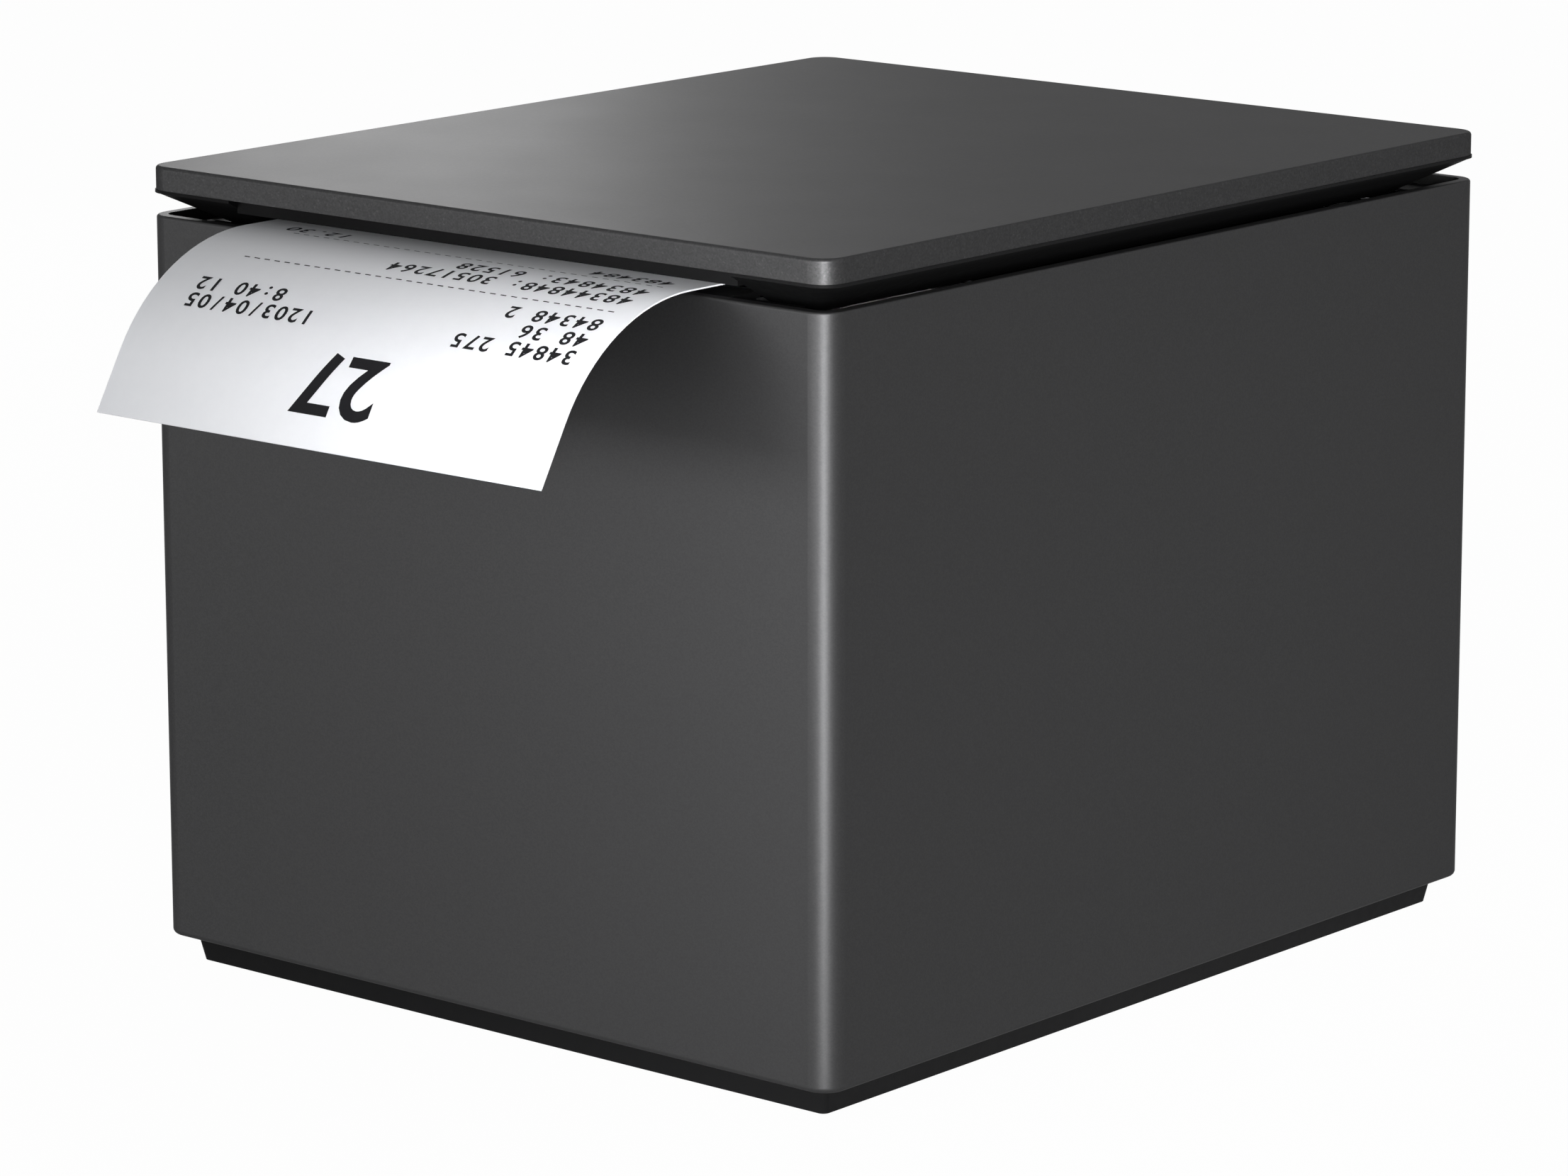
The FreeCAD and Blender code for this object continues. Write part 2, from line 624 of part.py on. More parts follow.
# Drop-in bucket and the paper roll.
across = mirrored("bucket_half + bucket_wall")
shell = fuse([
    rod("x", ("bucket_y", "bucket_z"), across, "bucket_outer"),
    box(across, ("bucket_y - bucket_outer", "bucket_y + bucket_outer"), ("bucket_z", "deck_bottom")),
    box(mirrored("deck_half_x - 0.5"), ("bucket_y - 32", "bucket_y + 34"),
        ("deck_bottom - 1.6", "deck_bottom")),
])
well = [
    rod("x", ("bucket_y", "bucket_z"), mirrored("bucket_half"), "bucket_radius"),
    box(mirrored("bucket_half"), ("bucket_y - bucket_radius", "bucket_y + bucket_radius"),
        ("bucket_z", "deck_bottom + 5")),
    box(mirrored("half_width"), ("bucket_y - 80", "bucket_y + 80"), ("deck_bottom", "deck_bottom + 8")),
    rod("x", ("bucket_y", "bucket_floor + 18"), ("-(bucket_half + 5)", "-(bucket_half - 1)"), "2"),
]
for seat in bucket_seats:
    well.append(rod("z", seat, ("deck_bottom - 3", "deck_bottom + 1"), "screw_radius + running_gap"))
keep("paper_bucket", cut(shell, well))
screws("bucket_screws", "z", bucket_seats, "deck_bottom - 1.6", -1, "4")
keep("near_end_sensor", box(("-(bucket_half + bucket_wall + 4)", "-(bucket_half + bucket_wall)"),
                            ("bucket_y - 4", "bucket_y + 4"), ("bucket_floor + 13", "bucket_floor + 23")))
roll_axis = ("bucket_y", "roll_z")
keep("paper_roll", ring("x", roll_axis, mirrored("half_paper"), "roll_radius", "core_radius"))
keep("roll_core", ring("x", roll_axis, mirrored("half_paper - 0.3"), "core_radius",
                       "core_radius - core_wall"))

# Mechanism frame: floor, two side plates and standoffs for the button board.
depth = ("frame_front", "frame_back")
solids = [box(mirrored("frame_outer"), depth, ("frame_level", "frame_floor_top"))]
for sx in (-1, 1):
    side = sorted((f"{sx} * frame_inner", f"{sx} * frame_outer"), key=num)
    solids.append(box(side, depth, ("frame_level", "frame_top")))
board_span = ("-button_board_x", "-(frame_outer - 0.5)")
for away in ("button_y - 4", "button_y + 5"):
    solids.append(rod("x", (away, "button_z - 7"), board_span, "1.8"))
drills = [rod("z", seat, ("frame_level - 1", "frame_floor_top + 1"), "screw_radius + running_gap")
          for seat in frame_seats]
drills.append(rod("x", platen_axis, mirrored("frame_outer + 1"), "bush_radius"))
right = ("frame_inner - 1", "frame_outer + 1")
drills.append(rod("x", idler_axis, right, "axle_radius"))
drills.append(rod("x", motor_axis, right, "4"))
motor_seats = [(motor_axis[0], f"{motor_axis[1]} + {s} * (motor_radius + 3)") for s in (-1, 1)]
for seat in motor_seats:
    drills.append(rod("x", seat, right, "screw_radius + running_gap"))
keep("mechanism_frame", cut(fuse(solids), drills))
screws("frame_screws", "z", frame_seats, "frame_floor_top", 1, "6")

# Platen roller, its bushes and gear train.
shaft_span = ("-(frame_outer + 1.2)", "gear_in_end")
keep("platen_shaft", rod("x", platen_axis, shaft_span, "shaft_radius"))
keep("platen_rubber", ring("x", platen_axis, mirrored("half_paper + 0.25"), "platen_radius",
                           "shaft_radius"))
bushes = []
for sx in (-1, 1):
    span = sorted((f"{sx} * (frame_inner - 0.8)", f"{sx} * (frame_outer + 0.8)"), key=num)
    bushes.append(ring("x", platen_axis, span, "bush_radius", "shaft_radius + running_gap"))
keep("platen_bushes", gather(bushes))
toward_idler = TRAIN_DOWN
toward_motor = TRAIN_FRONT
in_span = ("gear_in_start", "gear_in_end")
out_span = ("gear_out_start", "gear_out_end")
blank = gear(PLATEN_TEETH, toward_idler, "x", platen_axis, in_span)
bore_span = ("gear_in_start - 1", "gear_in_end + 1")
keep("platen_gear", cut(blank, [rod("x", platen_axis, bore_span, "shaft_radius")]))
small = gear(SMALL_TEETH, toward_idler + math.pi + math.pi / SMALL_TEETH, "x", idler_axis,
             ("gear_in_start", "gear_out_start + 0.1"))
large = gear(LARGE_TEETH, toward_motor, "x", idler_axis, out_span)
idler_bore = rod("x", idler_axis, ("frame_outer", "gear_out_end + 1"), "axle_radius + running_gap")
keep("reduction_gear", cut(fuse([small, large]), [idler_bore]))
keep("idler_axle", rod("x", idler_axis, ("frame_inner", "gear_out_end + 1.2"), "axle_radius"))
keep("axle_clip", ring("x", idler_axis, ("gear_out_end + 0.3", "gear_out_end + 0.9"), "3.2",
                       "axle_radius"))
pinion = gear(MOTOR_TEETH, toward_motor + math.pi + math.pi / MOTOR_TEETH, "x", motor_axis,
              ("gear_out_start - 0.2", "gear_out_end + 0.2"))
spindle = rod("x", motor_axis, ("frame_inner - motor_length + 2", "gear_out_end + 0.6"), "axle_radius")
keep("motor_pinion", fuse([pinion, spindle]))
can = fuse([
    rod("x", motor_axis, ("frame_inner - 1 - motor_length", "frame_inner - 0.5"), "motor_radius"),
    box(("frame_inner - 1", "frame_inner"), (f"{motor_axis[0]} - 5", f"{motor_axis[0]} + 5"),
        (f"{motor_axis[1]} - motor_radius - 6", f"{motor_axis[1]} + motor_radius + 6")),
])
motor_bore = [rod("x", motor_axis, ("frame_inner - motor_length + 1.5", "frame_outer"),
                  "axle_radius + running_gap")]
for seat in motor_seats:
    motor_bore.append(rod("x", seat, ("frame_inner - 2", "frame_outer"), "screw_radius + running_gap"))
keep("feed_motor", cut(can, motor_bore))
screws("motor_screws", "x", motor_seats, "frame_inner - 1", -1, "frame_sheet + 1.2")

# Cutter: back plate, guides, motor, rack blade and pinion.
plate_back = "cutter_plate_front + frame_sheet"
solids = [
    box(mirrored("frame_inner"), ("cutter_plate_front", plate_back),
        ("blade_bottom - 2", "platen_z - 4")),
    box(("cutter_x - 14", "cutter_x + 26"), ("cutter_plate_front", plate_back),
        ("cutter_z - 14", "blade_bottom - 1")),
]
spindle_hole = rod("y", cutter_axis, ("cutter_plate_front - 1", f"{plate_back} + 1"), "2")
keep("cutter_plate", cut(fuse(solids), [spindle_hole]))
guides = []
for sx in (-1, 1):
    rail = sorted((f"{sx} * (blade_half - 1)", f"{sx} * frame_inner"), key=num)
    slot = sorted((f"{sx} * (blade_half - 2)", f"{sx} * (blade_half + 0.4)"), key=num)
    guides.append(cut(
        box(rail, ("blade_front - 2.1", "cutter_plate_front"), ("blade_bottom - 2", "deck_bottom + 2.4")),
        [box(slot, ("blade_front - 0.2", "blade_back + 0.2"), ("blade_bottom - 9", "sleeve_top"))]))
keep("cutter_guides", gather(guides))
keep("cutter_motor", cut(
    rod("y", cutter_axis, (plate_back, f"{plate_back} + cutter_motor_length"), "cutter_motor_radius"),
    [rod("y", cutter_axis, ("cutter_y", f"{plate_back} + 8"), "1 + running_gap")]))

body = new_body("blade_body")
edge = [
    ("-blade_half", "blade_bottom"), ("blade_half", "blade_bottom"), ("blade_half", "blade_edge"),
    ("cut_tab", "blade_edge - 1.5"), ("cut_tab", "blade_edge - 9"),
    ("-cut_tab", "blade_edge - 9"), ("-cut_tab", "blade_edge - 1.5"), ("-blade_half", "blade_edge"),
]
pad(body, draw(body, "XZ_Plane", "-blade_back", [edge]), "blade_sheet")
pitch_line = num("cutter_x") + num("gear_module") * CUTTER_TEETH / 2


def rack_outline():
    module = num("gear_module")
    step = math.pi * module
    tip, root = pitch_line - 0.8 * module, pitch_line + 1.15 * module
    lean = math.tan(math.radians(20))
    points = []
    for tooth in range(-4, 4):
        middle = num("cutter_z") + tooth * step
        half_root = step / 4 - 0.06 + 1.15 * module * lean
        half_tip = step / 4 - 0.06 - 0.8 * module * lean
        points += [(root, middle - half_root), (tip, middle - half_tip)]
        points += [(tip, middle + half_tip), (root, middle + half_root)]
    high = num("blade_bottom") + 3
    low = points[0][1] - 1
    points = [(root, low)] + points + [(root, high), (root + 5, high), (root + 5, low)]
    return [V(x, num("blade_front"), z) for x, z in points]


corners = rack_outline()
rack = Part.Face(Part.makePolygon(corners + corners[:1])).extrude(V(0, num("blade_sheet") + 1.6, 0))
keep("cutter_blade", fuse([body, coded(rack)]))
wheel = gear(CUTTER_TEETH, math.pi / CUTTER_TEETH, "y", cutter_axis, ("blade_front", "blade_back + 1.6"))
keep("cutter_pinion", fuse([wheel, rod("y", cutter_axis, ("blade_front", f"{plate_back} + 7"), "1")]))

# Paper guide with ribs, and the paper sensor.
guide_y = ("platen_y + 10", "platen_y + 16")
solids = [box(mirrored("frame_inner"), guide_y, ("platen_z - 2.5", "platen_z - 1.3"))]
for place in (-33, -21, -9, 9, 21, 33):
    rib = f"{place} / 39.75 * half_paper"
    solids.append(box((f"{rib} - 1", f"{rib} + 1"), guide_y, ("platen_z - 2", "platen_z + 2.8")))
keep("paper_guide", fuse(solids))
keep("paper_sensor", box(("-4", "4"), ("platen_y + 10.5", "platen_y + 15.5"),
                         ("platen_z - 1.3", "platen_z + 2")))

# Paper strip: off the top of the roll, over the platen, past the cutter and down the front.
def paper_shape():
    half = num("paper_sheet") / 2
    roll = (num("bucket_y"), num("roll_z"), num("roll_radius") + num("paper_sheet") / 2 + 0.15)
    platen = (num("platen_y"), num("platen_z"), num("platen_radius") + num("nip_gap") + half)
    across, rise = platen[0] - roll[0], platen[1] - roll[1]
    lean = math.atan2(rise, across) + math.asin((roll[2] - platen[2]) / math.hypot(across, rise))
    normal = (math.sin(lean), -math.cos(lean))
    turn = math.radians(num("curl_angle"))
    front = -num("half_depth") - num("curl_start")
    level = num("paper_level")
    radius = num("curl_radius")

    def side(offset):
        def on(circle, direction):
            return V(0, circle[0] + (circle[2] + offset) * direction[0],
                     circle[1] + (circle[2] + offset) * direction[1])

        def curl(angle):
            return V(0, front - (radius + offset) * math.sin(angle),
                     level - radius + (radius + offset) * math.cos(angle))
        half_way = math.atan2(normal[0], normal[1]) / 2
        first, second = on(roll, normal), on(platen, normal)
        crest = on(platen, (math.sin(half_way), math.cos(half_way)))
        top = on(platen, (0, 1))
        end = curl(turn)
        tail = end + V(0, -math.cos(turn), -math.sin(turn)) * num("curl_tail")
        edges = [
            Part.LineSegment(first, second).toShape(),
            Part.Arc(second, crest, top).toShape(),
            Part.LineSegment(top, curl(0)).toShape(),
            Part.Arc(curl(0), curl(turn / 2), end).toShape(),
            Part.LineSegment(end, tail).toShape(),
        ]
        return edges, first, tail
    upper, upper_start, upper_end = side(half)
    lower, lower_start, lower_end = side(-half)
    caps = [Part.LineSegment(upper_start, lower_start).toShape(),
            Part.LineSegment(upper_end, lower_end).toShape()]
    face = Part.Face(Part.Wire(Part.__sortEdges__(upper + lower + caps)))
    solid = face.extrude(V(num("paper_width"), 0, 0))
    solid.translate(V(-num("half_paper"), 0, 0))
    return solid


slits = []
for sx in (-1, 1):
    slot = sorted((f"{sx} * cut_tab / 2", f"{sx} * (half_paper + 1)"), key=num)
    slits.append(box(slot, ("blade_front - 0.3", "blade_back + 0.3"),
                     ("paper_level - 1", "paper_level + 1")))
keep("receipt_paper", cut(coded(paper_shape()), slits))

# Lid: cover, tapered tray and screws.
body = new_body("cover_body")
block = pad(body, draw(body, "XY_Plane", "lid_bottom", [centred("half_width", "half_depth")]),
            "lid_thickness")
block = fillet(body, block, upright, "corner_round")
block = fillet(body, block, at_level("lid_top"), "lid_round")
cavity = centred("half_width - lid_wall", "half_depth - lid_wall")
under = draw(body, "XY_Plane", "lid_ceiling", [cavity])
block = pocket(body, under, "lid_thickness - lid_wall")
inside = outside_of("half_width - lid_wall - 0.1", "half_depth - lid_wall - 0.1")
inner_corner = lambda edge: inside(edge) and abs(edge.CenterOfMass.x) < num("half_width - lid_wall + 0.1")
fillet(body, block, inner_corner, "corner_round - lid_wall")
solids = [body]
drills = []
for seat in lid_seats:
    solids.append(rod("z", seat, ("tray_bottom + tray_skin", "lid_ceiling + 0.3"), "2.4"))
    drills.append(rod("z", seat, ("tray_bottom", "tray_bottom + tray_skin + 4"),
                      "screw_radius + running_gap"))
keep("lid_cover", cut(fuse(solids), drills))

body = new_body("tray_body")
low = draw_rounded(body, "tray_bottom", "half_width - tray_taper", "half_depth - tray_taper",
                   "corner_round / 3")
high = draw_rounded(body, "tray_bottom + tray_drop", "half_width", "half_depth", "corner_round")
loft(body, low, high)
lip = new_body("lip_body")
block = pad(lip, draw(lip, "XY_Plane", "tray_bottom + tray_drop",
                      [centred("half_width + tray_proud", "half_depth + tray_proud")]), "tray_lip")
fillet(lip, block, upright, "corner_round + tray_proud")
plug = new_body("plug_body")
inset = "lid_wall + tray_fit"
block = pad(plug, draw(plug, "XY_Plane", "lid_bottom", [centred(f"half_width - ({inset})",
                                                                f"half_depth - ({inset})")]),
            "lid_ceiling - lid_bottom")
fillet(plug, block, upright, "corner_round - lid_wall")
rim = "tray_taper + tray_skin"
hollow = [box(mirrored(f"half_width - {rim}"), mirrored(f"half_depth - {rim}"),
              ("tray_bottom + tray_skin", "lid_ceiling + 1"))]
hollow.append(box(mirrored("notch_half"), ("-(half_depth + 2)", "notch_back"),
                  ("tray_bottom - 1", "lid_ceiling + 1")))
reach = f"{PLATEN_TEETH} * gear_module / 2 + 2.4"
hollow.append(box(("notch_half - 1", "gear_in_end + 0.8"),
                  (f"platen_y - ({reach})", f"platen_y + {reach}"),
                  ("tray_bottom - 1", "lid_ceiling + 1")))
for sx in (-1, 1):
    slot = (f"{sx} * hinge_spread - ear_half - 0.4", f"{sx} * hinge_spread + ear_half + 0.4")
    hollow.append(box(slot, ("hinge_y - 7.8", "half_depth + 2"), ("tray_bottom - 1", "lid_ceiling + 1")))
    hollow.append(rod("x", ("hinge_y", "hinge_z"),
                      (f"{sx} * hinge_spread - ear_half - 3.2", f"{sx} * hinge_spread + ear_half + 3.2"),
                      "hinge_pin_radius + running_gap"))
for seat in lid_seats:
    hollow.append(rod("z", seat, ("tray_bottom - 1", "lid_bottom"), "screw_radius + running_gap"))
    hollow.append(rod("z", seat, ("tray_bottom - 1", "tray_bottom + screw_head_height + 0.1"),
                      "screw_head + 0.2"))
keep("lid_tray", cut(fuse([body, lip, plug]), hollow))
screws("lid_screws", "z", lid_seats, "tray_bottom + screw_head_height + 0.1", -1, "4.2")

# Print head on its pivot, sprung from the head frame in the lid.
tab = ("half_paper + 0.85", "half_paper + 1.65")
solids = [
    box(mirrored("frame_inner - 0.5"), ("cutter_y - 5", "notch_back - 1.5"),
        ("head_plate_bottom", "lid_ceiling")),
    box(mirrored("half_paper + 0.75"), ("blade_front - 2.15", "blade_front - 1"),
        ("paper_level + 1.6", "lid_ceiling - 0.2")),
]
for sx in (-1, 1):
    side = sorted((f"{sx} * ({tab[0]})", f"{sx} * ({tab[1]})"), key=num)
    solids.append(box(side, ("pivot_y - 11", "pivot_y + 2.4"), ("platen_z + 2", "lid_ceiling - 0.2")))
pin_hole = rod("x", ("pivot_y", "pivot_z"), mirrored("frame_inner"), "pivot_radius + running_gap")
keep("head_frame", cut(fuse(solids), [pin_hole]))
keep("head_pivot_pin", rod("x", ("pivot_y", "pivot_z"), mirrored(tab[1]), "pivot_radius"))
keep("exit_lip", box(mirrored("notch_half"), ("lip_front", "lip_front + lip_sheet"),
                     ("paper_level + lip_gap", "lid_ceiling")))
keep("fixed_blade", box(mirrored("half_paper + 0.75"), ("blade_front - 1", "blade_front - 0.15"),
                        ("paper_level + 0.5", "head_plate_bottom")))
sink = fuse([
    box(mirrored("half_paper + 0.25"), ("platen_y - 5", "pivot_y + 1"), ("sink_bottom", "sink_top")),
    rod("x", ("pivot_y", "pivot_z"), mirrored("half_paper + 0.25"), "pivot_radius + 0.9"),
])
keep("heat_sink", cut(sink, [rod("x", ("pivot_y", "pivot_z"), mirrored("frame_inner"),
                                 "pivot_radius + running_gap")]))
keep("print_head", box(mirrored("half_paper + 0.25"), ("platen_y - 4", "platen_y + 6"),
                       ("head_bottom", "sink_bottom")))

# Bowed leaf spring between heat sink and head frame.
body = new_body("spring_body")
low, high = "sink_top", "head_plate_bottom"
leaf = "0.2"
bow = [
    ("-26", f"{low}"), ("-22", f"{low}"), ("-4", f"{high} - {leaf}"), ("4", f"{high} - {leaf}"),
    ("22", f"{low}"), ("26", f"{low}"), ("26", f"{low} + {leaf}"), ("22", f"{low} + {leaf}"),
    ("4", f"{high}"), ("-4", f"{high}"), ("-22", f"{low} + {leaf}"), ("-26", f"{low} + {leaf}"),
]
pad(body, draw(body, "XZ_Plane", "-(platen_y + 5)", [bow]), "8")
keep("head_spring", body)

# Snap catches on the side plates, and the lid switch.
catches = []
for sx in (-1, 1):
    leaf_x = sorted((f"{sx} * (frame_inner - 0.6)", f"{sx} * frame_inner"), key=num)
    catches.append(fuse([
        box(leaf_x, ("pivot_y - 10", "pivot_y - 5"), ("platen_z - 1.1", "frame_top - 0.5")),
        rod("y", (f"{sx} * (frame_inner - 0.6)", "frame_top - 2.4"), ("pivot_y - 10", "pivot_y - 5"),
            "0.55"),
    ]))
keep("lid_catches", gather(catches))
case = ("-(frame_outer + 6)", "-frame_outer")
keep("lid_switch", fuse([
    box(case, ("platen_y + 6", "platen_y + 18"), ("platen_z - 5.5", "platen_z + 1.5")),
    box(("-(frame_outer + 4)", "-(frame_outer + 2)"), ("platen_y + 7", "platen_y + 19"),
        ("platen_z + 2", "platen_z + 2.3")),
    rod("z", ("-(frame_outer + 3)", "platen_y + 10"), ("platen_z + 1", "platen_z + 2.1"), "0.8"),
]))

# Main board, parts on it and the rear connector panel.
board_x = mirrored("board_half")
plate = box(board_x, ("frame_back + 6", "panel_front - 1"), ("board_level", "board_top"))
keep("main_board", cut(plate, [
    rod("z", seat, ("board_level - 1", "board_top + 1"),
        "screw_radius + running_gap") for seat in board_seats]))
screws("board_screws", "z", board_seats, "board_top", 1, "5.5")
chips = []
for across, along, wide, deep, tall in (
        (0, 2, 14, 14, 1.4), (-22, 4, 10, 8, 1.2), (20, 8, 9, 9, 1.2), (8, 24, 18, 8, 1.8),
        (-16, 26, 7, 12, 1.6), (26, -8, 12, 5, 3.2), (-28, -8, 16, 5, 3.2), (30, 26, 6, 6, 2.2)):
    chips.append(box((f"{across} - {wide} / 2", f"{across} + {wide} / 2"),
                     (f"bucket_y - 14 + {along} - {deep} / 2", f"bucket_y - 14 + {along} + {deep} / 2"),
                     ("board_top", f"board_top + {tall}")))
keep("board_chips", gather(chips))
cans = [rod("z", (str(x), "frame_back + 12"), ("board_top", "board_top + 11"), "4") for x in (-14, -4, 8)]
keep("board_capacitors", gather(cans))

# Each socket: centre, outer width and height, mouth width and height.
SOCKETS = (
    ("power_socket", -20, 17.0, 14.5, 14.0, 11.0),
    ("usb_socket", -2, 12.2, 11.2, 9.0, 8.0),
    ("serial_socket", 15.5, 16.0, 13.4, 12.0, 8.6),
    ("drawer_socket", 34, 13.4, 13.0, 10.0, 8.2),
)
cutouts = []
for node, middle, wide, tall, mouth_wide, mouth_tall in SOCKETS:
    middle = f"({middle} / 46 * board_half)"
    lift = f"board_top + {tall} / 2"
    outer = ((f"{middle} - {wide} / 2", f"{middle} + {wide} / 2"), ("board_top", f"board_top + {tall}"))
    mouth = ((f"{middle} - {mouth_wide} / 2", f"{middle} + {mouth_wide} / 2"),
             (f"{lift} - {mouth_tall} / 2", f"{lift} + {mouth_tall} / 2"))
    shell = box(outer[0], ("socket_face - 15", "socket_face"), outer[1])
    hollow = box(mouth[0], ("socket_face - 11", "socket_face + 1"), mouth[1])
    contacts = []
    for step in range(4):
        place = f"{middle} + ({step} - 1.5) * {mouth_wide} / 5"
        contacts.append(box((f"{place} - 0.4", f"{place} + 0.4"),
                            ("socket_face - 11.5", "socket_face - 4"),
                            (f"{mouth[1][0]} - 0.2", f"{mouth[1][0]} + 0.3")))
    keep(node, fuse([cut(shell, [hollow])] + contacts))
    cutouts.append(box((f"{outer[0][0]} - 0.25", f"{outer[0][1]} + 0.25"),
                       ("panel_front - 1", "panel_back + 1"),
                       (f"{outer[1][0]} - 0.25", f"{outer[1][1]} + 0.25")))

rocker_x, rocker_z = "rocker_x", "board_top + 7.5"
rocker_y = "socket_face - 2.4"
case = (f"{rocker_x} - 6", f"{rocker_x} + 6")
cutouts.append(box((f"{rocker_x} - 6.2", f"{rocker_x} + 6.2"), ("panel_front - 1", "panel_back + 1"),
                   (f"{rocker_z} - 7.7", f"{rocker_z} + 7.7")))
panel = box(mirrored("port_half + 1.5"), ("panel_front", "panel_back"),
            ("flange_top", "board_level + port_height + 4"))
keep("port_panel", cut(panel, cutouts))
housing = box(case, ("socket_face - 14", "socket_face"), (f"{rocker_z} - 7.5", f"{rocker_z} + 7.5"))
keep("rocker_housing", cut(housing, [
    box((f"{rocker_x} - 4.6", f"{rocker_x} + 4.6"), ("socket_face - 10", "socket_face + 1"),
        (f"{rocker_z} - 6.6", f"{rocker_z} + 6.6")),
    rod("x", (rocker_y, rocker_z), (f"{rocker_x} - 5.4", f"{rocker_x} + 5.4"), "1 + running_gap")]))
body = new_body("rocker_body")
lean = [
    (f"{rocker_y} + 1.1", f"{rocker_z} - 5.6"), (f"{rocker_y} + 2.6", f"{rocker_z}"),
    (f"{rocker_y} + 3.3", f"{rocker_z} + 5.3"), (f"{rocker_y} - 3", f"{rocker_z} + 4.6"),
    (f"{rocker_y} - 4", f"{rocker_z} - 4.6"),
]
pad(body, draw(body, "YZ_Plane", f"{rocker_x} - 4.3", [lean]), "8.6")
trunnion = rod("x", (rocker_y, rocker_z), (f"{rocker_x} - 5.2", f"{rocker_x} + 5.2"), "1")
keep("power_rocker", fuse([body, trunnion]))

# Feed button, its switch board and the status light on the left wall.
keep("feed_button", fuse([
    rod("x", ("button_y", "button_z"), ("-(half_width + button_proud)", "-button_end"), "button_radius"),
    rod("x", ("button_y", "button_z"), ("-(inner_half_width - 0.3)", "-(inner_half_width - 1.5)"),
        "button_radius + 1.2"),
]))
keep("button_board", box(("-button_board_face", "-button_board_x"), ("button_y - 7", "light_y + 5"),
                         ("button_z - 10", "button_z + 6")))
keep("button_switch", fuse([
    box(("-(button_end - 1.6)", "-button_board_face"), ("button_y - 3", "button_y + 3"),
        ("button_z - 3", "button_z + 3")),
    rod("x", ("button_y", "button_z"), ("-(button_end - 1.2)", "-(button_end - 1.8)"), "1.75"),
]))
keep("status_light", rod("x", ("light_y", "button_z"), ("-half_width", "-(button_board_face + 0.4)"),
                         "light_radius"))

doc.recompute()
faults = []
for obj in doc.Objects:
    if "Invalid" in obj.State or "Error" in obj.State:
        faults.append(obj.Label)
for node, obj in pieces.items():
    shape = obj.Shape
    if shape.isNull() or not shape.isValid() or not shape.Solids:
        faults.append(node)
if faults:
    raise RuntimeError("faulty: " + ", ".join(sorted(set(faults))))

os.makedirs("parts", exist_ok=True)
for node, obj in pieces.items():
    obj.Shape.exportStep(f"parts/{node}.step")
    box_of = obj.Shape.BoundBox
    print(f"{node}: {len(obj.Shape.Solids)} solids, {box_of.XLength:.1f} x {box_of.YLength:.1f} x {box_of.ZLength:.1f}")
print(len(pieces), "pieces")
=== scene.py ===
import json
import math
import bmesh
import bpy
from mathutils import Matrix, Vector


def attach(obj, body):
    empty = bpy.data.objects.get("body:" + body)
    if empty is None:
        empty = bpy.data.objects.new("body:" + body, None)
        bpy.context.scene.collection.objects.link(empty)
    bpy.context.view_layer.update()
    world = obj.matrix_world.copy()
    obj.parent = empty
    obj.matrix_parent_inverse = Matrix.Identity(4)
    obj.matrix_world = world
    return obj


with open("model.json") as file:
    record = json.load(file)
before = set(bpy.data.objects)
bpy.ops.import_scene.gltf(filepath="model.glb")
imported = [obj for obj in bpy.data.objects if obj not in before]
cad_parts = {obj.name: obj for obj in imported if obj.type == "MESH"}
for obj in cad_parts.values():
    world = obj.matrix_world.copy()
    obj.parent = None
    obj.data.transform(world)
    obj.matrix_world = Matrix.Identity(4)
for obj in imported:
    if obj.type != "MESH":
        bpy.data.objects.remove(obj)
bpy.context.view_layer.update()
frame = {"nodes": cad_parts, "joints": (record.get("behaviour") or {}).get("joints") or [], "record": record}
nodes = frame["nodes"]


def nodeBox(name):  # lowest and highest corner of one CAD piece
    obj = nodes[name]
    corners = [obj.matrix_world @ Vector(corner) for corner in obj.bound_box]
    return [[pick(corner[axis] for corner in corners) for axis in range(3)] for pick in (min, max)]


class Wire:  # a socket that works in Python expressions
    def __init__(self, graph, socket):
        self.graph, self.socket = graph, socket

    def __add__(self, other):
        return self.graph.math("ADD", self, other)

    def __sub__(self, other):
        return self.graph.math("SUBTRACT", self, other)

    def __rsub__(self, other):
        return self.graph.math("SUBTRACT", other, self)

    def __mul__(self, other):
        return self.graph.math("MULTIPLY", self, other)

    def __pow__(self, other):
        return self.graph.math("POWER", self, other)

    def __rpow__(self, other):
        return self.graph.math("POWER", other, self)

    def __lt__(self, other):
        return self.graph.math("LESS_THAN", self, other)

    def __gt__(self, other):  # also 0.5 < wire
        return self.graph.math("GREATER_THAN", self, other)

    __radd__ = __add__
    __rmul__ = __mul__


